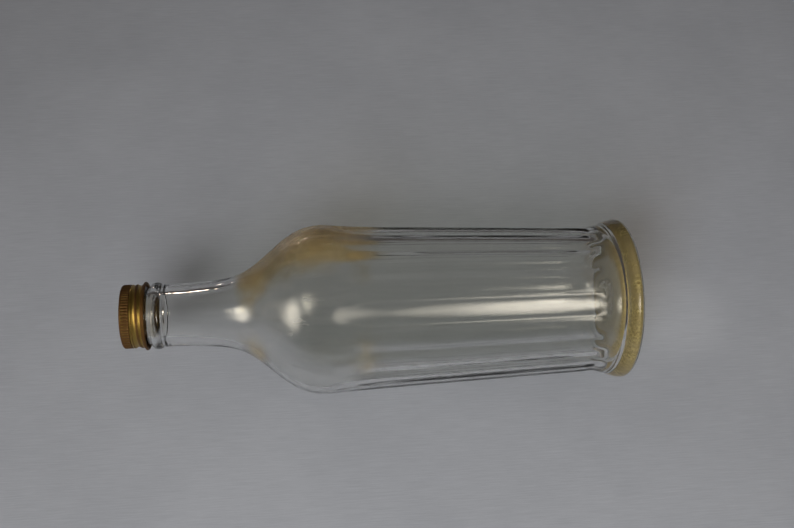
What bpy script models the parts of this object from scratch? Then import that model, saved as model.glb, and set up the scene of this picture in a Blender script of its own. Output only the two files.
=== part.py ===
"""A clear glass oil bottle with a fluted body, and its knurled brass screw cap.

The bottle stands upright on its foot ring. Its axis is +Z, and the origin is the
middle of the foot ring's flat underside. All sizes are in metres.

The bottle is one piece of glass. The cap is a thin formed shell that screws onto
the bottle's threaded finish, and it holds a two-layer liner that seals on the lip.
"""

from math import atan2, ceil, cos, hypot, pi, radians, sin

import bpy

MM = 0.001
GAP = 0.3 * MM                  # running gap between neighbouring pieces

# The glass: driving heights and radii
FOOT_RING_INNER_R = 27.0 * MM
FOOT_RING_OUTER_R = 32.0 * MM
HEEL_R = 35.9 * MM
HEEL_Z = 3.2 * MM
WAIST_R = 32.45 * MM
WAIST_Z = 17.0 * MM
SHOULDER_R = 37.48 * MM
SHOULDER_Z = 135.0 * MM
NECK_R = 13.65 * MM
NECK_TOP_Z = 203.6 * MM
COLLAR_R = 13.85 * MM
BEAD_R = 14.7 * MM
BEAD_Z = 208.3 * MM
BEAD_HALF_HEIGHT = 2.3 * MM
BORE_R = 9.4 * MM
LIP_Z = 220.2 * MM
PUSH_UP_Z = 4.2 * MM            # underside of the base at the axis
INNER_BASE_Z = 7.2 * MM         # inside of the base at the axis
CORNER_Z = 5.2 * MM             # lowest glass inside, round the edge of the base
CORNER_TOP_Z = 8.9 * MM

# The straight, tapered stretch of the body
TAPER = 0.0382                  # radius gained for each unit of height
TAPER_START_Z = 22.0 * MM
TAPER_END_Z = 126.0 * MM
TAPER_START_R = 32.95 * MM

# The flutes
FLUTE_COUNT = 20
FLUTE_DEPTH = 1.1 * MM
FLUTE_PHASE = radians(4.5)      # angle of one ridge between two flutes
FLUTE_TOP_RISE_Z = 108.0 * MM   # above this a flute runs out to its rounded top
FLUTE_TOP_RISE = 2.2            # how fast it runs out, per metre
FLUTE_FOOT_RISE_Z = 22.0 * MM   # below this it runs out to its rounded foot
FLUTE_FOOT_RISE = 18.0
COLUMNS_PER_FLUTE = 4

# The screw thread, shared by the glass and the cap
PITCH = 3.175 * MM
THREAD_PHASE_Z = 210.45 * MM    # height of the thread's crest line at angle 0
ROOT_R = 12.5 * MM
RIDGE_HEIGHT = 0.85 * MM
RIDGE_HALF_WIDTH = 1.15 * MM
GLASS_THREAD_START = 0.65       # in turns from the crest line at angle 0
GLASS_THREAD_END = 2.1
THREAD_FADE = 0.12              # turns over which the glass thread fades out

# The liner and the cap
LINER_R = 13.2 * MM
FACING_THICKNESS = 0.4 * MM
BACKING_THICKNESS = 1.5 * MM
SHEET = 0.3 * MM
CAP_R = 14.0 * MM
CAP_CORNER = 1.0 * MM
CAP_BOTTOM_Z = 212.5 * MM
RIM_R = 15.0 * MM
KNURL_COUNT = 66
KNURL_DEPTH = 0.22 * MM
KNURL_TOP_DROP = 1.0 * MM       # from the cap's top down to the knurled band
KNURL_BOTTOM_DROP = 4.0 * MM
THREAD_TOP_DROP = 4.8 * MM
GROOVE_DEPTH = 0.6 * MM         # how far the cap's wall is rolled in between crests
RIM_TOP_Z = 214.0 * MM

FACING_Z = LIP_Z + GAP
BACKING_Z = FACING_Z + FACING_THICKNESS + GAP
CAP_CEILING_Z = BACKING_Z + BACKING_THICKNESS + GAP
CAP_TOP_Z = CAP_CEILING_Z + SHEET

TURN = 2 * pi


# ---------------------------------------------------------------- curves

def hermite_radius(stations, z):
    """Radius at height z on a smooth curve through (height, radius, slope) stations."""
    for (z0, r0, m0), (z1, r1, m1) in zip(stations, stations[1:]):
        if z <= z1:
            break
    span = z1 - z0
    t = (z - z0) / span
    return (
        (2 * t**3 - 3 * t**2 + 1) * r0
        + (t**3 - 2 * t**2 + t) * span * m0
        + (3 * t**2 - 2 * t**3) * r1
        + (t**3 - t**2) * span * m1
    )


def steps_between(start, end, count):
    """count heights from start to end, both ends included."""
    return [start + (end - start) * i / (count - 1) for i in range(count)]


def arc(centre_r, centre_z, half_r, half_z, from_deg, to_deg, count):
    """Points on a quarter-ellipse or similar, by angle from the +R direction."""
    return [
        (centre_r + half_r * cos(radians(a)), centre_z + half_z * sin(radians(a)))
        for a in steps_between(from_deg, to_deg, count)
    ]


def taper_radius(z):
    """Radius of the ridges between the flutes."""
    return TAPER_START_R + TAPER * (z - TAPER_START_Z)


OUTER_STATIONS = [
    (HEEL_Z, HEEL_R, -0.05),
    (8.5 * MM, 34.65 * MM, -0.36),
    (WAIST_Z, WAIST_R, 0.0),
    (TAPER_START_Z, TAPER_START_R, TAPER),
    (TAPER_END_Z, taper_radius(TAPER_END_Z), TAPER),
    (SHOULDER_Z, SHOULDER_R, 0.0),
    (149.5 * MM, 33.72 * MM, -0.60),
    (159.5 * MM, 26.0 * MM, -0.88),
    (171.0 * MM, 17.67 * MM, -0.48),
    (188.0 * MM, 14.25 * MM, -0.09),
    (NECK_TOP_Z, NECK_R, -0.02),
]

INNER_STATIONS = [
    (CORNER_TOP_Z, 30.7 * MM, 0.0),
    (16.5 * MM, 29.5 * MM, -0.03),
    (22.0 * MM, 29.65 * MM, TAPER),
    (126.0 * MM, 33.6 * MM, TAPER),
    (135.5 * MM, 34.2 * MM, 0.0),
    (149.5 * MM, 30.6 * MM, -0.60),
    (159.5 * MM, 23.0 * MM, -0.86),
    (171.0 * MM, 14.7 * MM, -0.45),
    (187.0 * MM, 10.7 * MM, -0.09),
    (203.0 * MM, 9.6 * MM, -0.03),
    (219.6 * MM, BORE_R, 0.0),
]


# ---------------------------------------------------------------- the bottle's outline

def inner_outline():
    """From the middle of the base inside, out round its corner and up to the lip."""
    base = [
        (0.0, INNER_BASE_Z),
        (13.0 * MM, 6.8 * MM),
        (20.0 * MM, 6.1 * MM),
        (25.0 * MM, 5.4 * MM),
    ]
    corner = arc(27.4 * MM, CORNER_TOP_Z, 3.3 * MM, CORNER_TOP_Z - CORNER_Z, -90, 0, 4)
    heights = [11.5 * MM, 16.5 * MM, 22.0 * MM, 126.0 * MM]
    heights += steps_between(133.0 * MM, 171.0 * MM, 8)
    heights += [179.0 * MM, 190.0 * MM, 203.0 * MM, 219.6 * MM]
    wall = [(hermite_radius(INNER_STATIONS, z), z) for z in heights]
    return base + corner + wall


def finish_outline():
    """The lip, the threaded root, the bead and the collar, from the top down."""
    lip = [(9.9 * MM, LIP_Z), (11.9 * MM, LIP_Z)]
    root = [(ROOT_R, z) for z in steps_between(LIP_Z - 0.6 * MM, 212.1 * MM, 10)]
    under_thread = [(12.75 * MM, 211.4 * MM)]
    bead = arc(13.3 * MM, BEAD_Z, BEAD_R - 13.3 * MM, BEAD_HALF_HEIGHT, 90, -90, 6)
    collar = [(COLLAR_R, 205.4 * MM), (COLLAR_R, 204.5 * MM)]
    return lip + root + under_thread + bead + collar


def body_outline():
    """The neck, shoulder, body and flare, from the top down."""
    heights = [NECK_TOP_Z, 188.0 * MM, 180.0 * MM]
    heights += steps_between(173.0 * MM, 138.0 * MM, 8)
    heights += steps_between(135.5 * MM, 107.5 * MM, 8)
    heights += [22.0 * MM, 18.5 * MM, 15.5 * MM, 12.0 * MM, 8.0 * MM]
    return [(hermite_radius(OUTER_STATIONS, z), z) for z in heights]


def base_outline():
    """The heel, the flat foot ring and the push-up under the base."""
    heel = arc(
        FOOT_RING_OUTER_R, HEEL_Z, HEEL_R - FOOT_RING_OUTER_R, HEEL_Z, 0, -90, 4
    )
    push_up = [
        (FOOT_RING_INNER_R, 0.0),
        (24.8 * MM, 1.5 * MM),
        (14.0 * MM, 3.6 * MM),
        (0.0, PUSH_UP_Z),
    ]
    return heel + push_up


# ---------------------------------------------------------------- surface formulas

def turns_from(angle):
    """An angle as a share of a turn, from 0 up to 1."""
    return (angle / TURN) % 1.0


def flute_radius(angle, z):
    """Radius of the fluted surface: a shallow scallop between two ridges."""
    share = ((angle - FLUTE_PHASE) / TURN * FLUTE_COUNT) % 1.0
    across = 2 * share - 1
    rise = FLUTE_TOP_RISE * max(0.0, z - FLUTE_TOP_RISE_Z) ** 2
    rise += FLUTE_FOOT_RISE * max(0.0, FLUTE_FOOT_RISE_Z - z) ** 2
    return taper_radius(z) - FLUTE_DEPTH * (1 - across**2) + rise


def glass_thread_height(angle, z):
    """How far the glass thread stands out of its root at this angle and height."""
    height = 0.0
    for whole in range(ceil(GLASS_THREAD_END) + 1):
        turn = whole + turns_from(angle)
        if not GLASS_THREAD_START < turn < GLASS_THREAD_END:
            continue
        ends = min(turn - GLASS_THREAD_START, GLASS_THREAD_END - turn) / THREAD_FADE
        offset = (z - THREAD_PHASE_Z - PITCH * turn) / RIDGE_HALF_WIDTH
        if abs(offset) < 1:
            bump = 0.5 + 0.5 * cos(pi * offset)
            height = max(height, RIDGE_HEIGHT * bump * min(1.0, ends))
    return height


def shape_bottle(angle, r, z):
    """The turned bottle's radius, with its flutes pressed in and its thread raised."""
    if WAIST_Z - 4 * MM < z < SHOULDER_Z + 4 * MM and r > taper_radius(z) - 2 * MM:
        return min(r, flute_radius(angle, z))
    if BEAD_Z < z < LIP_Z and ROOT_R - 0.05 * MM < r < ROOT_R + 0.05 * MM:
        return r + glass_thread_height(angle, z)
    return r


def thread_groove(angle, z):
    """How far the cap's wall is rolled in, between the crests of its thread."""
    top = CAP_TOP_Z - THREAD_TOP_DROP
    if not RIM_TOP_Z <= z <= top:
        return 0.0
    ends = min(z - RIM_TOP_Z, top - z) / (0.6 * MM)
    from_crest = (z - THREAD_PHASE_Z) / PITCH - turns_from(angle)
    return GROOVE_DEPTH * min(1.0, ends) * (0.5 - 0.5 * cos(TURN * from_crest))


def shape_cap(angle, r, z):
    """The turned cap's radius, with its knurls and its rolled thread."""
    top = CAP_TOP_Z - KNURL_TOP_DROP
    bottom = CAP_TOP_Z - KNURL_BOTTOM_DROP
    if r > CAP_R - 0.1 * MM and bottom - 0.01 * MM < z < top + 0.01 * MM:
        share = turns_from(angle) * KNURL_COUNT % 1.0
        return r - KNURL_DEPTH * (0.5 + 0.5 * cos(TURN * share))
    if r < CAP_R - 2 * SHEET:
        return r
    return r - thread_groove(angle, z)


# ---------------------------------------------------------------- Blender objects

def clear_scene():
    for ob in list(bpy.data.objects):
        bpy.data.objects.remove(ob, do_unlink=True)


def principled(name, colour, roughness, metallic=0.0, transmission=0.0):
    mat = bpy.data.materials.new(name)
    mat.use_nodes = True
    shader = mat.node_tree.nodes["Principled BSDF"]
    shader.inputs["Base Color"].default_value = (*colour, 1.0)
    shader.inputs["Roughness"].default_value = roughness
    shader.inputs["Metallic"].default_value = metallic
    shader.inputs["Transmission Weight"].default_value = transmission
    mat.diffuse_color = (*colour, 1.0)
    return mat


def turned(name, outline, columns, collection, start_angle=0.0):
    """An object turned about the Z axis from an outline of (radius, height) points."""
    mesh = bpy.data.meshes.new(name)
    points = [(r * cos(start_angle), r * sin(start_angle), z) for r, z in outline]
    edges = [(i, i + 1) for i in range(len(points) - 1)]
    mesh.from_pydata(points, edges, [])
    ob = bpy.data.objects.new(name, mesh)
    collection.objects.link(ob)
    screw = ob.modifiers.new("turn", "SCREW")
    screw.axis = "Z"
    screw.steps = columns
    screw.render_steps = columns
    screw.use_merge_vertices = True
    screw.merge_threshold = 0.00001
    return ob


def apply_modifiers(ob):
    """Replace the object's mesh with its evaluated one."""
    bpy.context.view_layer.update()
    evaluated = ob.evaluated_get(bpy.context.evaluated_depsgraph_get())
    mesh = bpy.data.meshes.new_from_object(evaluated)
    ob.modifiers.clear()
    ob.data = mesh


def move_radially(ob, shape):
    """Set each vertex's radius to shape(angle, radius, height)."""
    for vertex in ob.data.vertices:
        x, y, z = vertex.co
        r = hypot(x, y)
        if r > MM:
            scale = shape(atan2(y, x), r, z) / r
            vertex.co = (x * scale, y * scale, z)


def finish_surface(ob, material, sharp_deg):
    ob.data.materials.clear()
    ob.data.materials.append(material)
    ob.data.shade_smooth()
    ob.data.set_sharp_from_angle(angle=radians(sharp_deg))


def make_bottle(collection):
    outline = inner_outline() + finish_outline() + body_outline() + base_outline()
    columns = FLUTE_COUNT * COLUMNS_PER_FLUTE
    ob = turned("bottle", outline, columns, collection, FLUTE_PHASE)
    apply_modifiers(ob)
    move_radially(ob, shape_bottle)
    glass = principled("clear_glass", (0.86, 0.87, 0.83), 0.03, transmission=0.9)
    finish_surface(ob, glass, 40)
    return ob


def cap_outline():
    """The cap's shell: over the top, down the outside, round the rim and up inside."""
    wall_r = CAP_R - SHEET
    thread_top = CAP_TOP_Z - THREAD_TOP_DROP
    outside = [
        (0.0, CAP_TOP_Z),
        (CAP_R - CAP_CORNER, CAP_TOP_Z),
        (CAP_R - 0.29 * CAP_CORNER, CAP_TOP_Z - 0.29 * CAP_CORNER),
        (CAP_R, CAP_TOP_Z - KNURL_TOP_DROP),
        (CAP_R, CAP_TOP_Z - KNURL_BOTTOM_DROP),
        (CAP_R - 0.25 * MM, CAP_TOP_Z - KNURL_BOTTOM_DROP - 0.3 * MM),
    ]
    outside += [(CAP_R, z) for z in steps_between(thread_top, RIM_TOP_Z, 7)]
    curl_z = CAP_BOTTOM_Z + 0.65 * MM
    rim = [
        (RIM_R - 0.3 * MM, curl_z + 0.5 * MM),
        (RIM_R, curl_z),
        (RIM_R - 0.4 * MM, CAP_BOTTOM_Z),
        (wall_r + 0.1 * MM, CAP_BOTTOM_Z + 0.1 * MM),
    ]
    inside = [(wall_r, z) for z in steps_between(RIM_TOP_Z, thread_top, 7)]
    ceiling = [
        (wall_r, CAP_CEILING_Z - 0.6 * MM),
        (wall_r - 0.4 * MM, CAP_CEILING_Z),
        (0.0, CAP_CEILING_Z),
    ]
    return outside + rim + inside + ceiling


def make_cap(collection):
    ob = turned("screw_cap", cap_outline(), 2 * KNURL_COUNT, collection)
    apply_modifiers(ob)
    move_radially(ob, shape_cap)
    brass = principled("gold_lacquered_cap", (0.46, 0.31, 0.09), 0.38, metallic=0.9)
    finish_surface(ob, brass, 35)
    return ob


def make_disc(name, bottom_z, thickness, material, collection):
    """A thin liner disc with softened edges."""
    soft = 0.1 * MM
    outline = [
        (0.0, bottom_z + thickness),
        (LINER_R - soft, bottom_z + thickness),
        (LINER_R, bottom_z + thickness - soft),
        (LINER_R, bottom_z + soft),
        (LINER_R - soft, bottom_z),
        (0.0, bottom_z),
    ]
    ob = turned(name, outline, 36, collection)
    finish_surface(ob, material, 30)
    return ob


def main():
    clear_scene()
    collection = bpy.data.collections.new("glass_oil_bottle")
    bpy.context.scene.collection.children.link(collection)
    make_bottle(collection)
    make_cap(collection)
    facing = principled("waxed_facing", (0.72, 0.68, 0.56), 0.45)
    backing = principled("pulpboard", (0.45, 0.34, 0.22), 0.9)
    make_disc("liner_facing", FACING_Z, FACING_THICKNESS, facing, collection)
    make_disc("liner_backing", BACKING_Z, BACKING_THICKNESS, backing, collection)


main()
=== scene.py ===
"""The looks of a fluted clear glass oil bottle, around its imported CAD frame.

The bottle stands upright in the frame, on +Z. The camera lies on its side beside it,
because the bottle in the picture lies on a table with its cap to the left. The glass is
one fine mesh whose inside carries dried oil, and the cap is one fine formed shell.
"""

from math import atan, cos, pi, radians, sin, tan

import bpy
import numpy as np
from mathutils import Matrix, Vector


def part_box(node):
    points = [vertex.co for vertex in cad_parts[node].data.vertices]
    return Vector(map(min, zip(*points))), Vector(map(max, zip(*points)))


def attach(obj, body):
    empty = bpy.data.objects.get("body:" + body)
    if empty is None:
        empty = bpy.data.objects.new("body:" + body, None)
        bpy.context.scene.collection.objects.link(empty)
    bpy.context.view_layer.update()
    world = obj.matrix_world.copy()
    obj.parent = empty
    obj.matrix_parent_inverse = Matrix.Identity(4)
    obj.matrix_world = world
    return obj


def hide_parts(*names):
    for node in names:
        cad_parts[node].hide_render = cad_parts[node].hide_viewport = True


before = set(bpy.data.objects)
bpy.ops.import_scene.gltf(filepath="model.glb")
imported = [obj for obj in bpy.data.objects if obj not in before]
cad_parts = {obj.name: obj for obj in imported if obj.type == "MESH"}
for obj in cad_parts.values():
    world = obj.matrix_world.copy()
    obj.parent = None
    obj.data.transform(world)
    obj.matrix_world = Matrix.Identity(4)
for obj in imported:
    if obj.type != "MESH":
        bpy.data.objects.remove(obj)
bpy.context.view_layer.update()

# One millimetre, taken from the frame, so every size below follows the CAD bottle.
BOTTLE_LOW, BOTTLE_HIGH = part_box("bottle")
MM = (BOTTLE_HIGH[2] - BOTTLE_LOW[2]) / 220.2
TURN = 2 * pi

# The glass, as in the CAD
FOOT_RING_INNER_R = 27.0 * MM
FOOT_RING_OUTER_R = 32.0 * MM
HEEL_R = 35.9 * MM
HEEL_Z = 3.2 * MM
WAIST_R = 32.45 * MM
WAIST_Z = 17.0 * MM
SHOULDER_R = 37.48 * MM
SHOULDER_Z = 135.0 * MM
NECK_R = 13.65 * MM
NECK_TOP_Z = 203.6 * MM
COLLAR_R = 13.84 * MM
BEAD_R = 14.7 * MM
BEAD_Z = 208.3 * MM
BEAD_HALF_HEIGHT = 2.3 * MM
BORE_R = 9.4 * MM
LIP_Z = 220.2 * MM
PUSH_UP_Z = 4.2 * MM
INNER_BASE_Z = 7.2 * MM
CORNER_Z = 5.2 * MM            # lowest glass inside, round the base
CORNER_R = 27.4 * MM            # where that corner's arc is centred
CORNER_TOP_Z = 8.9 * MM
TAPER = 0.0382
TAPER_START_Z = 22.0 * MM
TAPER_END_Z = 126.0 * MM
TAPER_START_R = 32.95 * MM

# The flutes
FLUTE_COUNT = 20
FLUTE_DEPTH = 1.1 * MM
FLUTE_PHASE = radians(4.5)
FLUTE_TOP_RISE_Z = 108.0 * MM
FLUTE_TOP_RISE = 0.0022 / MM
FLUTE_FOOT_RISE_Z = 22.0 * MM
FLUTE_FOOT_RISE = 0.018 / MM
RIDGE_SOFTNESS = 0.15 * MM      # how softly two flutes meet
INSIDE_FLUTES = 0.3 * MM        # the flutes also show faintly inside the glass

# The screw thread, shared by the glass and the cap
PITCH = 3.175 * MM
THREAD_PHASE_Z = 210.45 * MM
ROOT_R = 12.5 * MM
RIDGE_HEIGHT = 0.85 * MM
RIDGE_HALF_WIDTH = 1.15 * MM
GLASS_THREAD_START = 0.65
GLASS_THREAD_END = 2.1
THREAD_FADE = 0.12

# The cap, its top and bottom heights read from the frame
CAP_TOP_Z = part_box("screw_cap")[1][2]
CAP_BOTTOM_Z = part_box("screw_cap")[0][2]
SHEET = 0.3 * MM
CAP_CEILING_Z = CAP_TOP_Z - SHEET
CAP_PANEL_Z = CAP_TOP_Z - 0.25 * MM     # the middle of the top lies slightly sunk
CAP_R = 14.0 * MM
CAP_CORNER = 1.0 * MM
RIM_R = 15.0 * MM
RIM_TOP_Z = 214.0 * MM
KNURL_COUNT = 66
KNURL_DEPTH = 0.3 * MM
KNURL_TOP_DROP = 1.0 * MM
KNURL_BOTTOM_DROP = 4.0 * MM
THREAD_TOP_DROP = 4.8 * MM
CAP_GROOVE_Z = CAP_TOP_Z - KNURL_BOTTOM_DROP - 0.4 * MM     # the plain groove under the knurls
GROOVE_DEPTH = 0.6 * MM


# ------------------------------------------------------------------ curves

def hermite(stations, z):
    """Radii at heights z on a smooth curve through (height, radius, slope) stations."""
    z = np.asarray(z, float)
    table = np.array(stations)
    i = np.clip(np.searchsorted(table[:, 0], z, side="right") - 1, 0, len(table) - 2)
    (z0, r0, m0), (z1, r1, m1) = table[i].T, table[i + 1].T
    span = z1 - z0
    t = (z - z0) / span
    return (
        (2 * t**3 - 3 * t**2 + 1) * r0
        + (t**3 - 2 * t**2 + t) * span * m0
        + (3 * t**2 - 2 * t**3) * r1
        + (t**3 - t**2) * span * m1
    )


def smooth_step(low, high, value):
    """0 below low, 1 above high, and a smooth rise between. low may be above high."""
    t = np.clip((value - low) / (high - low), 0.0, 1.0)
    return t * t * (3 - 2 * t)


def bump(centre, half_width, value):
    """1 at centre, falling smoothly to 0 at half_width on either side."""
    return smooth_step(half_width, 0.0, np.abs(value - centre))


def soft_min(a, b, softness):
    """The smaller of two arrays, with the crossing rounded off."""
    low = np.minimum(a, b)
    return low - softness * np.log1p(np.exp(-np.abs(a - b) / softness))


def arc(centre_r, centre_z, half_r, half_z, from_deg, to_deg, count):
    """Points on an elliptical arc, by angle from the outward direction."""
    angles = np.radians(np.linspace(from_deg, to_deg, count))
    return np.column_stack([centre_r + half_r * np.cos(angles), centre_z + half_z * np.sin(angles)])


def smooth_line(points, count):
    """count points along a smooth (Catmull-Rom) curve through a few outline points."""
    p = np.array([points[0], *points, points[-1]], float)
    spans = len(points) - 1
    s = np.linspace(0, spans, count)
    i = np.minimum(s.astype(int), spans - 1)
    t = (s - i)[:, None]
    a, b, c, d = p[i], p[i + 1], p[i + 2], p[i + 3]
    return 0.5 * (2 * b + (c - a) * t + (2 * a - 5 * b + 4 * c - d) * t**2 + (3 * b - a - 3 * c + d) * t**3)


def taper_radius(z):
    return TAPER_START_R + TAPER * (z - TAPER_START_Z)


OUTER_STATIONS = [
    (HEEL_Z, HEEL_R, -0.05),
    (8.5 * MM, 34.65 * MM, -0.36),
    (WAIST_Z, WAIST_R, 0.0),
    (TAPER_START_Z, TAPER_START_R, TAPER),
    (TAPER_END_Z, taper_radius(TAPER_END_Z), TAPER),
    (SHOULDER_Z, SHOULDER_R, 0.0),
    (149.5 * MM, 33.72 * MM, -0.60),
    (159.5 * MM, 26.0 * MM, -0.88),
    (171.0 * MM, 17.67 * MM, -0.48),
    (188.0 * MM, 14.25 * MM, -0.09),
    (NECK_TOP_Z, NECK_R, -0.02),
]

INNER_STATIONS = [
    (CORNER_TOP_Z, 30.7 * MM, 0.0),
    (16.5 * MM, 29.5 * MM, -0.03),
    (22.0 * MM, 29.65 * MM, TAPER),
    (126.0 * MM, 33.6 * MM, TAPER),
    (135.5 * MM, 34.2 * MM, 0.0),
    (149.5 * MM, 30.6 * MM, -0.60),
    (159.5 * MM, 23.0 * MM, -0.86),
    (171.0 * MM, 14.7 * MM, -0.45),
    (187.0 * MM, 10.7 * MM, -0.09),
    (203.0 * MM, 9.6 * MM, -0.03),
    (219.6 * MM, BORE_R, 0.0),
]


# ------------------------------------------------------------------ the bottle's outline

def wall(stations, heights):
    """Outline points at these heights, on the curve through the stations."""
    return np.column_stack([hermite(stations, heights), heights])


def inner_outline():
    """From beside the axis on the base inside, round its corner and up to the lip."""
    base = smooth_line(
        [(0.6 * MM, INNER_BASE_Z), (13 * MM, 6.8 * MM), (20 * MM, 6.1 * MM), (25 * MM, 5.4 * MM)], 18
    )
    corner = arc(CORNER_R, CORNER_TOP_Z, 3.3 * MM, CORNER_TOP_Z - CORNER_Z, -84, 0, 12)
    heights = np.concatenate([
        np.linspace(9.6 * MM, 22 * MM, 13),
        np.linspace(26 * MM, 124 * MM, 26),
        np.linspace(126 * MM, 190 * MM, 58),
        np.linspace(193 * MM, 219.6 * MM, 14),
    ])
    return np.vstack([base, corner, wall(INNER_STATIONS, heights)])


def finish_outline():
    """The lip, the threaded root, the bead and the collar, from the top down."""
    lip = arc(10.6 * MM, LIP_Z - 0.7 * MM, 1.2 * MM, 0.7 * MM, 165, 90, 6)
    lip_outer = arc(11.6 * MM, LIP_Z - 0.8 * MM, 0.9 * MM, 0.8 * MM, 90, 8, 7)
    heights = np.linspace(219.2 * MM, 212.2 * MM, 40)
    root = np.column_stack([np.full(40, ROOT_R), heights])
    under_thread = smooth_line(
        [(ROOT_R, 211.9 * MM), (12.75 * MM, 211.4 * MM), (13.3 * MM, 210.8 * MM)], 8
    )
    bead = arc(13.3 * MM, BEAD_Z, BEAD_R - 13.3 * MM, BEAD_HALF_HEIGHT, 78, -78, 24)
    collar = smooth_line([
        (13.60 * MM, 205.85 * MM), (13.72 * MM, 205.5 * MM), (COLLAR_R, 205.0 * MM),
        (13.80 * MM, 204.6 * MM), (13.70 * MM, 204.1 * MM),
    ], 12)
    return np.vstack([lip, lip_outer, root, under_thread, bead, collar])


def body_outline():
    """The neck, shoulder, fluted body and flare, from the top down."""
    heights = np.concatenate([
        np.linspace(NECK_TOP_Z, 190 * MM, 10),
        np.linspace(188 * MM, 138 * MM, 60),
        np.linspace(137.5 * MM, 108 * MM, 50),
        np.linspace(105 * MM, 26 * MM, 24),
        np.linspace(23 * MM, 13 * MM, 34),
        np.linspace(12.4 * MM, 3.6 * MM, 18),
    ])
    return wall(OUTER_STATIONS, heights)


def base_outline():
    """The heel, the flat foot ring and the push-up under the base."""
    heel = arc(FOOT_RING_OUTER_R, HEEL_Z, HEEL_R - FOOT_RING_OUTER_R, HEEL_Z, 0, -90, 16)
    push_up = smooth_line([
        (FOOT_RING_INNER_R, 0.0), (24.8 * MM, 1.5 * MM), (20 * MM, 2.7 * MM),
        (14 * MM, 3.6 * MM), (0.6 * MM, PUSH_UP_Z),
    ], 24)
    return np.vstack([heel, push_up])


# ------------------------------------------------------------------ surface formulas

def across_flute(angle):
    """-1 on one ridge, 0 in the middle of the flute and 1 on the next ridge."""
    share = ((angle - FLUTE_PHASE) / TURN * FLUTE_COUNT) % 1.0
    return 2 * share - 1


def flute_radius(angle, z):
    """Radius of the fluted surface, with each ridge slightly rounded."""
    across = np.abs(across_flute(angle))
    rise = FLUTE_TOP_RISE * np.maximum(0.0, z - FLUTE_TOP_RISE_Z) ** 2
    rise = rise + FLUTE_FOOT_RISE * np.maximum(0.0, FLUTE_FOOT_RISE_Z - z) ** 2
    mine = -FLUTE_DEPTH * (1 - across**2)
    neighbour = -FLUTE_DEPTH * (1 - (2 - across) ** 2)
    return taper_radius(z) + soft_min(mine, neighbour, RIDGE_SOFTNESS) + rise


def glass_thread_height(angle, z):
    """How far the glass thread stands out of its root."""
    height = np.zeros_like(z)
    for whole in range(4):
        turn = whole + (angle / TURN) % 1.0
        ends = np.minimum(turn - GLASS_THREAD_START, GLASS_THREAD_END - turn) / THREAD_FADE
        offset = np.clip((z - THREAD_PHASE_Z - PITCH * turn) / RIDGE_HALF_WIDTH, -1, 1)
        ridge = RIDGE_HEIGHT * (0.5 + 0.5 * np.cos(pi * offset)) * np.clip(ends, 0, 1)
        height = np.maximum(height, ridge)
    return height


def glass_outside(angle, r, z):
    """The turned outside of the glass, with its flutes and its thread."""
    fluted = (z > WAIST_Z - 4.5 * MM) & (z < SHOULDER_Z + 4 * MM)
    scalloped = soft_min(r, flute_radius(angle, z), RIDGE_SOFTNESS)
    keep = np.where(fluted, scalloped, r)
    root = (z > BEAD_Z + 3.7 * MM) & (z < LIP_Z - 0.9 * MM)
    return np.where(root, keep + glass_thread_height(angle, z), keep)


def ripple(angle, z, amount):
    """Slow uneven thickness of blown glass, the same each run."""
    waves = [(1, 0.9, 19), (2, 2.1, 31), (3, 4.0, 24), (5, 1.3, 43), (7, 5.2, 36), (11, 0.4, 60)]
    total = np.zeros_like(z)
    for order, phase, length in waves:
        total = total + np.sin(order * angle + phase + 3 * np.sin(z / (length * MM) + order)) / order**0.6
    return amount * total / 3


def glass_inside(angle, r, z):
    """The inside wall follows the flutes faintly and is slightly uneven."""
    body = smooth_step(16 * MM, 40 * MM, z) * smooth_step(118 * MM, 84 * MM, z)
    flutes = INSIDE_FLUTES * body * (0.5 + 0.5 * np.cos(pi * across_flute(angle)))
    uneven = 0.16 * MM * smooth_step(8 * MM, 20 * MM, z) * smooth_step(206 * MM, 196 * MM, z)
    return r - flutes + ripple(angle, z, 1.0) * uneven


def thread_groove(angle, z):
    """How far the cap's wall is rolled in, between the crests of its thread."""
    top = CAP_TOP_Z - THREAD_TOP_DROP
    ends = np.clip(np.minimum(z - RIM_TOP_Z, top - z) / (0.7 * MM), 0, 1)
    from_crest = (z - THREAD_PHASE_Z) / PITCH - angle / TURN
    return GROOVE_DEPTH * ends * (0.5 - 0.5 * np.cos(TURN * from_crest)) ** 0.85


def knurl_depth(angle, z):
    """How deep the knurling is cut: V-shaped grooves with short run-outs."""
    top = CAP_TOP_Z - KNURL_TOP_DROP + 0.35 * MM
    bottom = CAP_TOP_Z - KNURL_BOTTOM_DROP
    ends = np.clip(np.minimum(z - bottom, top - z) / (0.4 * MM), 0, 1)
    share = (angle / TURN * KNURL_COUNT) % 1.0
    groove = 1 - np.abs(2 * share - 1)
    return KNURL_DEPTH * smooth_step(0, 1, ends) * groove**1.3


def dents(angle, z):
    """Slight unevenness of old, handled sheet metal."""
    wobble = np.sin(3 * angle + 1.0) + 0.7 * np.sin(5 * angle + z / (2 * MM)) + 0.5 * np.sin(9 * angle + 2)
    return 0.05 * MM * wobble


def cap_outside(angle, r, z):
    """The cap's outside, rolled in for its thread, knurled and slightly dented."""
    return r - thread_groove(angle, z) - knurl_depth(angle, z) + dents(angle, z)


def cap_inside(angle, r, z):
    """The cap's inside follows the rolled thread only."""
    return r - thread_groove(angle, z)


# ------------------------------------------------------------------ meshes

def ring_grid(outline, columns, shape):
    """Points of a turned skin: one ring of columns points for each outline point."""
    angle = np.arange(columns) / columns * TURN
    r, z = outline[:, 0][:, None], outline[:, 1][:, None]
    angle_grid = np.broadcast_to(angle, (len(outline), columns))
    r_grid = np.broadcast_to(r, angle_grid.shape)
    z_grid = np.broadcast_to(z, angle_grid.shape)
    radius = shape(angle_grid, r_grid, z_grid)
    return np.stack([radius * np.cos(angle_grid), radius * np.sin(angle_grid), z_grid], axis=2)


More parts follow.
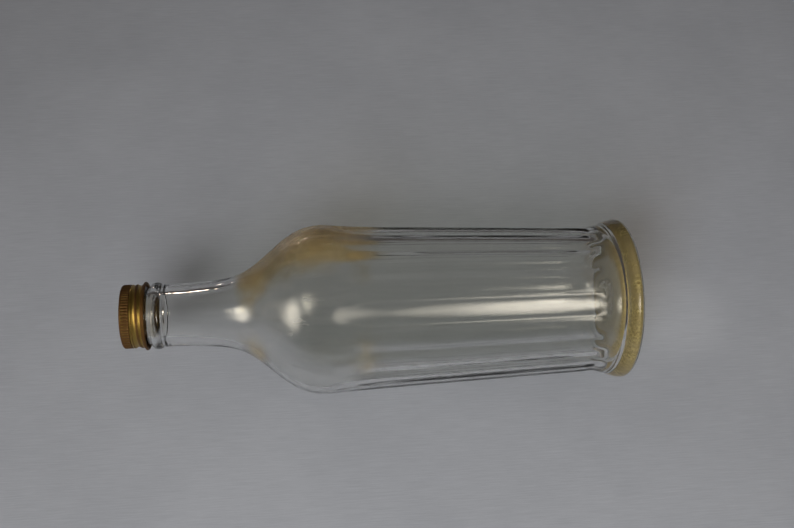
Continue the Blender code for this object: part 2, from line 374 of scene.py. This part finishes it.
def turned_mesh(name, skins, columns, pole_z):
    """A closed body from skins of (outline, shape, material index), poles at both ends.

    The outline runs from the inner pole, up the inside, over the top and down the
    outside to the outer pole, which makes every face point outwards.
    """
    grids = [ring_grid(outline, columns, shape) for outline, shape, _ in skins]
    rings = np.concatenate(grids)
    owner = np.concatenate([np.full(len(o), m) for o, _, m in skins])
    points = rings.reshape(-1, 3)
    count = len(rings)
    column = np.arange(columns)
    after = (column + 1) % columns
    faces, slots = [], []
    for row in range(count - 1):
        low, high = row * columns, (row + 1) * columns
        quads = np.column_stack([low + column, high + column, high + after, low + after])
        faces += quads.tolist()
        slots += [int(owner[row])] * columns
    first_pole, last_pole = len(points), len(points) + 1
    points = np.vstack([points, [[0, 0, pole_z[0]], [0, 0, pole_z[1]]]])
    base = (count - 1) * columns
    for c, a in zip(column.tolist(), after.tolist()):
        faces += [[first_pole, c, a], [last_pole, base + a, base + c]]
        slots += [int(owner[0]), int(owner[-1])]
    mesh = bpy.data.meshes.new(name)
    mesh.from_pydata(points.tolist(), [], faces)
    mesh.polygons.foreach_set("material_index", slots)
    mesh.shade_smooth()
    mesh.update()
    return mesh


def polar(mesh):
    """Every vertex's angle, radius and height."""
    points = np.empty(len(mesh.vertices) * 3)
    mesh.vertices.foreach_get("co", points)
    x, y, z = points.reshape(-1, 3).T
    return np.arctan2(y, x), np.hypot(x, y), z


def store(mesh, name, values):
    """Keep one number for each vertex, for the materials to read."""
    layer = mesh.attributes.new(name, "FLOAT", "POINT")
    layer.data.foreach_set("value", np.clip(values, 0, 1).astype(np.float32))


def add_piece(name, mesh, body, node, materials):
    """A finished piece that rides on a body and stands for one CAD node."""
    ob = bpy.data.objects.new(name, mesh)
    bpy.context.scene.collection.objects.link(ob)
    for material in materials:
        mesh.materials.append(material)
    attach(ob, body)
    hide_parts(node)
    return ob


# ------------------------------------------------------------------ node helpers

class Nodes:
    """Short calls for building one material's node tree."""

    def __init__(self, name):
        self.material = bpy.data.materials.new(name)
        self.material.use_nodes = True
        self.tree = self.material.node_tree
        self.tree.nodes.clear()
        self.output = self.tree.nodes.new("ShaderNodeOutputMaterial")

    def link(self, source, target):
        self.tree.links.new(source, target)

    def set(self, socket, value):
        """A socket gets a link if value is another node's output, or else a number."""
        if isinstance(value, bpy.types.NodeSocket):
            self.link(value, socket)
        else:
            socket.default_value = value

    def node(self, kind, inputs=None, **settings):
        made = self.tree.nodes.new(kind)
        for key, value in settings.items():
            setattr(made, key, value)
        for key, value in (inputs or {}).items():
            self.set(made.inputs[key], value)
        return made

    def value(self, name):
        """A number that store() kept on the mesh."""
        return self.node("ShaderNodeAttribute", attribute_name=name).outputs["Fac"]

    def place(self):
        """The point's place in the piece, in metres."""
        return self.node("ShaderNodeTexCoord").outputs["Object"]

    def stretched(self, scale):
        """The same place on scaled axes, for grain that runs one way."""
        return self.node("ShaderNodeMapping", {0: self.place(), "Scale": scale}).outputs[0]

    def noise(self, vector, scale, detail=4.0, roughness=0.55):
        made = self.node(
            "ShaderNodeTexNoise",
            {"Vector": vector, "Scale": scale, "Detail": detail, "Roughness": roughness},
        )
        return made.outputs["Fac"]

    def math(self, operation, a, b=0.0):
        return self.node("ShaderNodeMath", {0: a, 1: b}, operation=operation).outputs[0]

    def uneven(self, value, noise, amount):
        """A value pushed up and down by a noise, over a range of amount."""
        push = self.math("MULTIPLY", self.math("SUBTRACT", noise, 0.5), amount)
        return self.math("ADD", value, push)

    def ramp(self, factor, low, high, to_low=0.0, to_high=1.0):
        """A smooth rise from to_low to to_high, while factor goes from low to high."""
        made = self.node(
            "ShaderNodeMapRange",
            {"Value": factor, "From Min": low, "From Max": high, "To Min": to_low, "To Max": to_high},
            interpolation_type="SMOOTHSTEP",
        )
        return made.outputs["Result"]

    def mix(self, factor, a, b):
        made = self.node("ShaderNodeMix", {0: factor, 6: a, 7: b}, data_type="RGBA")
        return made.outputs[2]

    def layer(self, amount, under, over):
        """One shader laid over another."""
        return self.node("ShaderNodeMixShader", {0: amount, 1: under, 2: over}).outputs[0]

    def bump(self, height, distance, strength=1.0):
        return self.node(
            "ShaderNodeBump", {"Height": height, "Distance": distance, "Strength": strength}
        ).outputs[0]

    def finish(self, shader):
        """Make this shader the material's surface."""
        self.link(shader, self.output.inputs["Surface"])
        return self.material


def clear_to_lamps(nodes, shader, tint):
    """Light from the lamps goes straight through, so what lies behind glass is lit."""
    straight = nodes.node("ShaderNodeBsdfTransparent", {"Color": tint})
    path = nodes.node("ShaderNodeLightPath")
    return nodes.layer(path.outputs["Is Shadow Ray"], shader, straight.outputs[0])


# ------------------------------------------------------------------ materials

GLASS_IOR = 1.5
CLEAR_OUTSIDE = (0.955, 0.96, 0.945, 1)
CLEAR_INSIDE = (0.965, 0.965, 0.95, 1)
AMBER_OUTSIDE = (0.86, 0.68, 0.36, 1)
AMBER_INSIDE = (0.77, 0.60, 0.29, 1)
DULL_AMBER = (0.80, 0.64, 0.36, 1)      # the film where it is thick enough to scatter light


def gold_deposit(n, grain):
    """Oil and dust dried to a speckled gold layer, paler towards the middle of the foot."""
    patches = n.noise(n.place(), 130.0, 4.0, 0.6)
    gold = n.mix(n.ramp(grain, 0.35, 0.7), (0.36, 0.24, 0.06, 1), (1.0, 0.84, 0.38, 1))
    gold = n.mix(n.ramp(patches, 0.40, 0.65), gold, (0.55, 0.42, 0.19, 1))
    pale = n.mix(grain, (0.56, 0.49, 0.36, 1), (0.88, 0.83, 0.70, 1))
    return n.node("ShaderNodeBsdfPrincipled", {
        "Base Color": n.mix(n.value("rim"), pale, gold),
        "Metallic": 0.3,
        "Roughness": n.ramp(grain, 0.3, 0.7, 0.30, 0.5),
        "Normal": n.bump(grain, 0.0002, 0.7),
    })


def outside_glass():
    """Old clear glass: fine scuffs, an amber film on the shoulder, and gold dust under the foot."""
    n = Nodes("clear_glass")
    scuffs = n.noise(n.stretched((60, 60, 9)), 9.0, 6.0, 0.7)
    blotches = n.noise(n.place(), 60.0, 6.0, 0.65)
    stain = n.value("stain")
    film = n.ramp(n.uneven(stain, blotches, 1.6), 0.2, 1.2)
    film = n.math("MULTIPLY", film, n.ramp(stain, 0.1, 0.6))
    scuffed = n.ramp(scuffs, 0.55, 0.8, 0.015, 0.09)
    glass = n.node("ShaderNodeBsdfPrincipled", {
        "Base Color": n.mix(film, CLEAR_OUTSIDE, AMBER_OUTSIDE),
        "Roughness": n.math("ADD", scuffed, n.math("MULTIPLY", film, 0.22)),
        "IOR": GLASS_IOR,
        "Transmission Weight": 1.0,
    })
    dull = n.node("ShaderNodeBsdfDiffuse", {"Color": DULL_AMBER})
    veiled = n.layer(n.math("MULTIPLY", film, 0.42), glass.outputs[0], dull.outputs[0])
    grain = n.noise(n.place(), 900.0, 6.0, 0.75)
    cover = n.ramp(n.uneven(n.value("deposit"), grain, 0.5), 0.25, 0.7)
    surface = n.layer(cover, veiled, gold_deposit(n, grain).outputs[0])
    tint = n.mix(cover, (0.9, 0.91, 0.89, 1), (0.35, 0.24, 0.08, 1))
    return n.finish(clear_to_lamps(n, surface, tint))


def stained_glass():
    """The inside of the glass, with an amber film of dried oil and a pale haze."""
    n = Nodes("inside_glass")
    blotches = n.noise(n.place(), 75.0, 6.0, 0.62)
    streaks = n.noise(n.stretched((90, 90, 10)), 2.2, 5.0, 0.6)
    stain = n.value("stain")
    film = n.ramp(n.uneven(stain, blotches, 1.4), 0.1, 0.95)
    film = n.math("MULTIPLY", film, n.ramp(stain, 0.0, 0.3))
    haze = n.math("MULTIPLY", n.value("haze"), n.ramp(streaks, 0.35, 0.75, 0.15))
    roughness = n.math("ADD", n.math("MULTIPLY", haze, 0.3), n.math("MULTIPLY", film, 0.12))
    crust = n.math("MULTIPLY", n.noise(n.place(), 1300.0, 4.0, 0.7), film)
    glass = n.node("ShaderNodeBsdfPrincipled", {
        "Base Color": n.mix(film, CLEAR_INSIDE, AMBER_INSIDE),
        "Roughness": n.math("ADD", roughness, 0.01),
        "IOR": GLASS_IOR,
        "Transmission Weight": 1.0,
        "Normal": n.bump(crust, 0.00025, 0.6),
    })
    tint = n.mix(film, (0.93, 0.93, 0.91, 1), (0.84, 0.80, 0.72, 1))
    return n.finish(clear_to_lamps(n, glass.outputs[0], tint))


def brass():
    """Gold lacquer over sheet metal, worn to brown where it is handled. On the thread, the gold in the
    hollows is also a painted highlight and the brown on the crests is also painted shade.
    """
    n = Nodes("gold_lacquer_wear_and_painted_shade")
    blotches = n.noise(n.place(), 260.0, 6.0, 0.6)
    fine = n.noise(n.stretched((1, 1, 3)), 1500.0, 5.0, 0.7)
    # High values give brown, low values gold: besides real wear, on the thread this paints shade on the
    # crests and a highlight in the hollows.
    brown = n.ramp(n.uneven(n.value("wear_and_painted_shade"), blotches, 0.8), 0.25, 0.85)
    colour = n.mix(brown, (0.40, 0.275, 0.075, 1), (0.13, 0.062, 0.016, 1))
    colour = n.mix(n.ramp(fine, 0.56, 0.78, 0.0, 0.55), colour, (0.06, 0.03, 0.008, 1))
    surface = n.node("ShaderNodeBsdfPrincipled", {
        "Base Color": colour,
        "Metallic": n.ramp(brown, 0.0, 1.0, 1.0, 0.7),
        "Roughness": n.ramp(n.math("ADD", brown, fine), 0.3, 1.5, 0.38, 0.55),
        "Normal": n.bump(fine, 0.00008, 0.6),
    })
    return n.finish(surface.outputs[0])


def pulpboard():
    """Grey-brown pressed board with short fibres and an oil-darkened edge."""
    n = Nodes("pulpboard")
    fibres = n.noise(n.stretched((1, 3, 1)), 900.0, 6.0, 0.7)
    patches = n.noise(n.place(), 120.0, 4.0)
    colour = n.mix(fibres, (0.30, 0.21, 0.12, 1), (0.55, 0.44, 0.30, 1))
    colour = n.mix(n.ramp(patches, 0.5, 0.7), colour, (0.20, 0.12, 0.05, 1))
    surface = n.node("ShaderNodeBsdfPrincipled", {
        "Base Color": colour,
        "Roughness": n.ramp(fibres, 0.2, 0.8, 0.75, 0.95),
        "Normal": n.bump(fibres, 0.0001, 0.6),
    })
    return n.finish(surface.outputs[0])


def waxed_paper():
    """The liner's waxed facing, soaked brown with oil and pressed by the lip."""
    n = Nodes("waxed_paper")
    stains = n.noise(n.place(), 160.0, 5.0, 0.6)
    grain = n.noise(n.place(), 1800.0, 4.0)
    colour = n.mix(n.ramp(stains, 0.42, 0.66), (0.30, 0.17, 0.045, 1), (0.16, 0.08, 0.018, 1))
    surface = n.node("ShaderNodeBsdfPrincipled", {
        "Base Color": colour,
        "Roughness": n.ramp(stains, 0.3, 0.7, 0.5, 0.32),
        "Normal": n.bump(grain, 0.00005, 0.4),
    })
    return n.finish(surface.outputs[0])


# ------------------------------------------------------------------ where the oil dried

def facing(angle, towards, half_width):
    """1 at the angle towards, falling to 0 at half_width round either side."""
    away = np.abs((angle - towards + pi) % TURN - pi)
    return smooth_step(half_width, 0.25 * half_width, away)


def stain_amount(angle, r, z):
    """Where the film of dried oil lies on the inside of the glass."""
    shoulder = bump(143 * MM, 40 * MM, z) * facing(angle, radians(8), radians(75))
    along_top = smooth_step(88 * MM, 135 * MM, z) * smooth_step(176 * MM, 165 * MM, z)
    along_top = 0.75 * along_top * facing(angle, radians(10), radians(42))
    neck_foot = bump(167 * MM, 15 * MM, z) * (0.25 + 0.35 * facing(angle, radians(-10), radians(100)))
    low_side = 0.4 * bump(166 * MM, 9 * MM, z) * facing(angle, radians(200), radians(50))
    spots = 0.42 * bump(119 * MM, 15 * MM, z) * facing(angle, radians(-125), radians(35))
    spots = np.maximum(spots, 0.36 * bump(120 * MM, 12 * MM, z) * facing(angle, radians(-50), radians(40)))
    base = 0.16 * smooth_step(9.6 * MM, 8.2 * MM, z)
    under_cap = 0.4 * bump(209 * MM, 4.5 * MM, z) * smooth_step(12 * MM, 11 * MM, r)
    return np.clip(shoulder + along_top + neck_foot + low_side + spots + base + under_cap, 0, 1)


def deposit_amount(angle, r, z):
    """Where oil and dust dried under the foot: in the recess, not on the worn bearing ring."""
    under = smooth_step(4.9 * MM, 4.5 * MM, z) * smooth_step(28.2 * MM, 26.6 * MM, r)
    return under * (0.42 + 0.58 * smooth_step(7.0 * MM, 15.0 * MM, r))


def haze_amount(angle, r, z):
    """Where a pale dry film dulls the inside of the body and shoulder."""
    body = 0.6 * smooth_step(8 * MM, 30 * MM, z) * smooth_step(172 * MM, 150 * MM, z)
    return body + 0.6 * bump(140 * MM, 24 * MM, z)


# ------------------------------------------------------------------ the pieces

def make_bottle():
    """The glass, with its stained inside as a second material."""
    skins = [
        (inner_outline(), glass_inside, 1),
        (np.vstack([finish_outline(), body_outline(), base_outline()]), glass_outside, 0),
    ]
    columns = 320
    mesh = turned_mesh("glass_bottle", skins, columns, (INNER_BASE_Z, PUSH_UP_Z))
    angle, r, z = polar(mesh)
    store(mesh, "stain", stain_amount(angle, r, z))
    store(mesh, "deposit", deposit_amount(angle, r, z))
    store(mesh, "haze", haze_amount(angle, r, z))
    store(mesh, "rim", smooth_step(17 * MM, 23 * MM, r))
    return add_piece("glass_bottle", mesh, "bottle", "bottle", [outside_glass(), stained_glass()])


def cap_outline():
    """The cap's shell, from the middle of its top down the outside, and its inside."""
    top_edge_r = CAP_R - CAP_CORNER
    panel = smooth_line([
        (0.4 * MM, CAP_PANEL_Z), (10.2 * MM, CAP_PANEL_Z),
        (10.9 * MM, CAP_TOP_Z - 0.05 * MM), (11.6 * MM, CAP_TOP_Z), (top_edge_r, CAP_TOP_Z),
    ], 26)
    corner = arc(top_edge_r, CAP_TOP_Z - CAP_CORNER, CAP_CORNER, CAP_CORNER, 82, 0, 9)
    heights = np.linspace(CAP_TOP_Z - KNURL_TOP_DROP - 0.1 * MM, CAP_TOP_Z - KNURL_BOTTOM_DROP, 16)
    knurled = np.column_stack([np.full(len(heights), CAP_R), heights])
    groove = arc(CAP_R, CAP_GROOVE_Z, -0.42 * MM, 0.34 * MM, 70, -70, 9)
    heights = np.linspace(CAP_TOP_Z - THREAD_TOP_DROP, RIM_TOP_Z, 44)
    threaded = np.column_stack([np.full(len(heights), CAP_R), heights])
    curl_half = 0.66 * MM
    curl_r, curl_z = RIM_R - curl_half, CAP_BOTTOM_Z + curl_half
    flare = smooth_line([
        (CAP_R, RIM_TOP_Z - 0.15 * MM), (CAP_R + 0.05 * MM, curl_z + 0.8 * MM),
        (curl_r - 0.18 * MM, curl_z + 0.52 * MM),
    ], 6)
    curl = arc(curl_r, curl_z, curl_half, curl_half, 100, -90, 22)
    return np.vstack([panel, corner, knurled, groove, threaded, flare, curl])


def cap_lining():
    """The inside of the cap's shell, from the rim up to the ceiling."""
    wall_r = CAP_R - SHEET
    foot = smooth_line([
        (wall_r + 0.35 * MM, CAP_BOTTOM_Z + 0.02 * MM), (wall_r + 0.08 * MM, CAP_BOTTOM_Z + 0.2 * MM),
        (wall_r, CAP_BOTTOM_Z + 0.6 * MM),
    ], 6)
    heights = np.linspace(CAP_BOTTOM_Z + 0.9 * MM, CAP_CEILING_Z - 0.7 * MM, 54)
    threaded = np.column_stack([np.full(len(heights), wall_r), heights])
    ceiling = arc(wall_r - 0.55 * MM, CAP_CEILING_Z - 0.55 * MM, 0.55 * MM, 0.55 * MM, 0, 90, 6)
    return np.vstack([foot, threaded, ceiling, [[0.4 * MM, CAP_CEILING_Z]]])


def make_cap():
    """The formed shell. Its rings run from the top down the outside and up the inside."""
    skins = [(cap_outline(), cap_outside, 0), (cap_lining(), cap_inside, 0)]
    columns = KNURL_COUNT * 10
    mesh = turned_mesh("knurled_cap", skins, columns, (CAP_PANEL_Z, CAP_CEILING_Z))
    angle, r, z = polar(mesh)
    threaded = smooth_step(CAP_GROOVE_Z + 0.3 * MM, CAP_GROOVE_Z, z)
    threaded = threaded * smooth_step(RIM_TOP_Z - 0.4 * MM, RIM_TOP_Z, z)
    hollow = 1.25 * thread_groove(angle, z) / GROOVE_DEPTH + bump(CAP_GROOVE_Z, 0.9 * MM, z)
    knurl = 0.25 * (1 - knurl_depth(angle, z) / KNURL_DEPTH)
    # Wear, and painted light: the thread's crests get brown painted shade and its hollows a gold painted
    # highlight.
    store(mesh, "wear_and_painted_shade", 0.62 + knurl * (1 - threaded) + threaded * (0.3 - hollow))
    return add_piece("knurled_cap", mesh, "cap", "screw_cap", [brass()])


def make_liner_disc(name, node, material, dish):
    """A liner disc with rounded edges, slightly dished where the lip presses it."""
    low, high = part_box(node)
    radius, mid, half = high[0], (low[2] + high[2]) / 2, (high[2] - low[2]) / 2
    soft = min(half, 0.3 * MM)
    rim_r = radius - soft
    top = np.column_stack([np.linspace(0.4 * MM, rim_r - 0.1 * MM, 30), np.full(30, high[2])])
    edge = arc(rim_r, mid, soft, half, 88, -88, 9)
    bottom = np.column_stack([np.linspace(rim_r - 0.1 * MM, 0.4 * MM, 60), np.full(60, low[2])])
    bottom[:, 1] += dish * bump((BORE_R + ROOT_R) / 2, 1.7 * MM, bottom[:, 0])
    outline = np.vstack([top, edge, bottom])
    mesh = turned_mesh(name, [(outline, lambda angle, r, z: r, 0)], 128, (high[2], low[2]))
    return add_piece(name, mesh, "liner", node, [material])


# ------------------------------------------------------------------ the studio

CAMERA_DISTANCE = 459 * MM      # from the bottle's axis
CAMERA_HEIGHT = 143.8 * MM      # above the foot, along the axis
CAMERA_LENS = 46.56             # millimetres, on a 36 mm sensor
TURN_TO_FOOT = radians(5.16)    # how far the camera is turned towards the foot
ROLL = radians(2.04)            # how far the axis slopes in the picture
AXIS_DROP = radians(2.55)       # how far the axis lies below the middle of the picture
BOTTLE_MIDDLE = Vector((0, 0, 120 * MM))
WINDOW_DISTANCE = 1.0           # metres from the bottle to each glowing panel

TABLE_HALF = 0.6                # metres of table on its other three sides
TABLE_BEYOND = 0.27             # metres of table beyond the bottle, away from the lamp
TABLE_TURN = radians(30)        # how far the table's upright is turned from the camera, towards +X
TABLE_LEAN = atan((SHOULDER_R - HEEL_R) / (SHOULDER_Z - HEEL_Z))
TABLE_UP = Vector((sin(TABLE_TURN), -cos(TABLE_TURN), tan(TABLE_LEAN))).normalized()
TABLE_ALONG = (Vector((0, 0, 1)) - TABLE_UP * TABLE_UP.z).normalized()
TABLE_ACROSS = TABLE_ALONG.cross(TABLE_UP)

FOOT_GLOW_ALONG = 172 * MM      # from the shoulder to the bright patch beside the foot
FOOT_GLOW_ACROSS = 10 * MM
GLOW_LAMP_DISTANCE = 0.4        # metres
GLOW_LAMP_LEAN = 0.6            # how far that lamp leans towards the foot's side
CREAM = (1.0, 0.92, 0.77, 1)
ROSE = (1.0, 0.80, 0.66, 1)
COOL = (0.95, 0.97, 1.0, 1)


def table_touch():
    """Where the shoulder of the lying bottle touches the table."""
    away = Vector((-sin(TABLE_TURN), cos(TABLE_TURN), 0))
    return away * (SHOULDER_R + 0.1 * MM) + Vector((0, 0, SHOULDER_Z))


def make_camera():
    """A camera on its side: the cap is to the left, and +X is up in the picture."""
    camera = bpy.data.objects.new("camera", bpy.data.cameras.new("camera"))
    bpy.context.scene.collection.objects.link(camera)
    camera.data.lens = CAMERA_LENS
    camera.data.sensor_width = 36.0
    camera.data.clip_start = 0.01
    # In the camera's own axes (right, up, back): towards the foot, and towards the axis.
    to_foot = Vector((
        cos(TURN_TO_FOOT) * cos(ROLL), cos(TURN_TO_FOOT) * sin(ROLL), -sin(TURN_TO_FOOT)
    ))
    to_axis = Vector((-sin(TURN_TO_FOOT), -tan(AXIS_DROP), -cos(TURN_TO_FOOT)))
    to_axis = (to_axis - to_foot * to_axis.dot(to_foot)).normalized()
    sideways = to_foot.cross(to_axis)
    own = Matrix((to_foot, to_axis, sideways)).transposed()
    world = Matrix(((0, 0, -1), (0, 1, 0), (1, 0, 0))).transposed()
    turn = world @ own.transposed()
    camera.matrix_world = (
        Matrix.Translation((0, -CAMERA_DISTANCE, CAMERA_HEIGHT)) @ turn.to_4x4()
    )
    bpy.context.scene.camera = camera


def direction(elevation_deg, azimuth_deg):
    """A direction from the bottle: elevation towards the cap, azimuth from the camera towards +X."""
    e, a = radians(elevation_deg), radians(azimuth_deg)
    return Vector((cos(e) * sin(a), -cos(e) * cos(a), sin(e)))


def glow_material(name, colour, strength):
    """A panel that is brightest in its middle and fades smoothly to its edge."""
    n = Nodes(name)
    away = n.node("ShaderNodeVectorMath", {0: n.place()}, operation="LENGTH").outputs["Value"]
    level = n.ramp(away, 1.0, 0.25, 0.0, strength)
    glow = n.node("ShaderNodeEmission", {"Color": colour, "Strength": level})
    dark = n.node("ShaderNodeBsdfTransparent")
    return n.finish(n.node("ShaderNodeAddShader", {0: glow.outputs[0], 1: dark.outputs[0]}).outputs[0])


def soft_window(name, towards, size, strength, colour):
    """A soft-edged glowing panel seen from the bottle in the given direction."""
    mesh = bpy.data.meshes.new(name)
    mesh.from_pydata([(-1, -1, 0), (1, -1, 0), (1, 1, 0), (-1, 1, 0)], [], [(0, 1, 2, 3)])
    mesh.materials.append(glow_material(name, colour, strength))
    ob = bpy.data.objects.new(name, mesh)
    bpy.context.scene.collection.objects.link(ob)
    ob.location = BOTTLE_MIDDLE + towards * WINDOW_DISTANCE
    ob.rotation_euler = (-towards).to_track_quat("Z", "Y").to_euler()
    ob.scale = (size[0], size[1], 1)
    ob.visible_camera = False
    ob.visible_shadow = False
    ob.visible_diffuse = False


def place_lamp(name, lamp, location, aim):
    """Put a lamp in the room, facing its aim. It isn't seen in the glass."""
    ob = bpy.data.objects.new(name, lamp)
    bpy.context.scene.collection.objects.link(ob)
    ob.location = location
    ob.rotation_euler = (location - aim).to_track_quat("Z", "Y").to_euler()
    ob.visible_camera = False
    ob.visible_glossy = False
    ob.visible_transmission = False
    return ob


def table_lamp(name, towards, distance, aim, size, spread, power, colour):
    """A broad soft lamp that lights the table and the metal."""
    lamp = bpy.data.lights.new(name, "AREA")
    lamp.shape = "SQUARE"
    lamp.size = size
    lamp.spread = spread
    lamp.energy = power
    lamp.color = colour
    place_lamp(name, lamp, BOTTLE_MIDDLE + towards * distance, aim)


def spot_on_table(name, aim, spread, power, colour):
    """A small soft patch of light on the table, such as a thick piece of glass throws."""
    lamp = bpy.data.lights.new(name, "SPOT")
    lamp.spot_size = spread
    lamp.spot_blend = 1.0
    lamp.shadow_soft_size = 0.004
    lamp.energy = power
    lamp.color = colour
    slope = (TABLE_UP - TABLE_ALONG * GLOW_LAMP_LEAN).normalized()
    ob = place_lamp(name, lamp, aim + slope * GLOW_LAMP_DISTANCE, aim)


def make_lights():
    """Two soft windows, a dim room below, two small glints beyond the neck, and two lamps."""
    soft_window("window_by_cap", direction(57, -9), (0.42, 0.36), 6.1, CREAM)
    soft_window("window_by_foot", direction(-27, -11), (0.30, 0.36), 7.6, CREAM)
    soft_window("room_below", direction(-5, -92), (0.8, 0.9), 0.75, COOL)
    soft_window("glint_beyond", direction(16, 117), (0.025, 0.03), 34.0, ROSE)
    soft_window("glint_beyond_high", direction(23, 117), (0.025, 0.025), 22.0, ROSE)
    below = table_touch() - TABLE_ACROSS * 0.12 - TABLE_ALONG * 0.09
    beside_foot = table_touch() - TABLE_ALONG * FOOT_GLOW_ALONG + TABLE_ACROSS * FOOT_GLOW_ACROSS
    spot_on_table("foot_glow", beside_foot, radians(9), 0.55, (1.0, 0.97, 0.9))
    table_lamp("over_table", direction(14, -26), 1.1, below, 0.7, radians(74), 2.1, (0.99, 0.99, 1.0))


def make_world():
    """A dim warm room, and a plain grey behind the table for the camera."""
    world = bpy.data.worlds.new("soft_room")
    bpy.context.scene.world = world
    world.use_nodes = True
    nodes, links = world.node_tree.nodes, world.node_tree.links
    background = nodes["Background"]
    path = nodes.new("ShaderNodeLightPath")
    mix = nodes.new("ShaderNodeMix")
    mix.data_type = "RGBA"
    mix.inputs[6].default_value = (0.052, 0.046, 0.044, 1)
    mix.inputs[7].default_value = (0.20, 0.205, 0.215, 1)
    links.new(path.outputs["Is Camera Ray"], mix.inputs[0])
    links.new(mix.outputs[2], background.inputs["Color"])


def table_material():
    """Pale grey painted board with faint brush marks. From behind it lets everything through."""
    n = Nodes("pale_table")
    strokes = n.noise(n.stretched((420, 16, 1)), 4.0, 6.0, 0.7)
    mottle = n.noise(n.place(), 14.0, 4.0, 0.6)
    shade = n.math("ADD", n.math("MULTIPLY", strokes, 0.6), n.math("MULTIPLY", mottle, 0.4))
    colour = n.mix(n.ramp(shade, 0.3, 0.7), (0.495, 0.51, 0.54, 1), (0.60, 0.615, 0.645, 1))
    board = n.node("ShaderNodeBsdfPrincipled", {
        "Base Color": colour,
        "Roughness": 0.85,
        "Normal": n.bump(strokes, 0.0002, 0.5),
    })
    behind = n.node("ShaderNodeBsdfTransparent")
    side = n.node("ShaderNodeNewGeometry").outputs["Backfacing"]
    return n.finish(n.layer(side, board.outputs[0], behind.outputs[0]))


def make_table():
    """The flat table that the lying bottle touches with its shoulder and its heel."""
    mesh = bpy.data.meshes.new("table")
    across = (-TABLE_HALF, TABLE_BEYOND)
    along = (-TABLE_HALF, TABLE_HALF)
    corners = [(across[i], along[j], 0) for i, j in ((0, 0), (1, 0), (1, 1), (0, 1))]
    mesh.from_pydata(corners, [], [(0, 1, 2, 3)])
    mesh.materials.append(table_material())
    table = bpy.data.objects.new("table", mesh)
    bpy.context.scene.collection.objects.link(table)
    table.matrix_world = Matrix.Translation(table_touch()) @ Matrix(
        (TABLE_ACROSS, TABLE_ALONG, TABLE_UP)
    ).transposed().to_4x4()


def set_render():
    """Enough bounces for nested glass, and no caustics."""
    scene = bpy.context.scene
    scene.view_settings.view_transform = "Standard"
    scene.cycles.max_bounces = 24
    scene.cycles.transmission_bounces = 24
    scene.cycles.transparent_max_bounces = 24
    scene.cycles.caustics_reflective = False
    scene.cycles.caustics_refractive = False


make_bottle()
make_cap()
make_liner_disc("liner_board", "liner_backing", pulpboard(), 0.0)
make_liner_disc("liner_paper", "liner_facing", waxed_paper(), 0.12 * MM)
make_camera()
make_lights()
make_world()
make_table()
set_render()
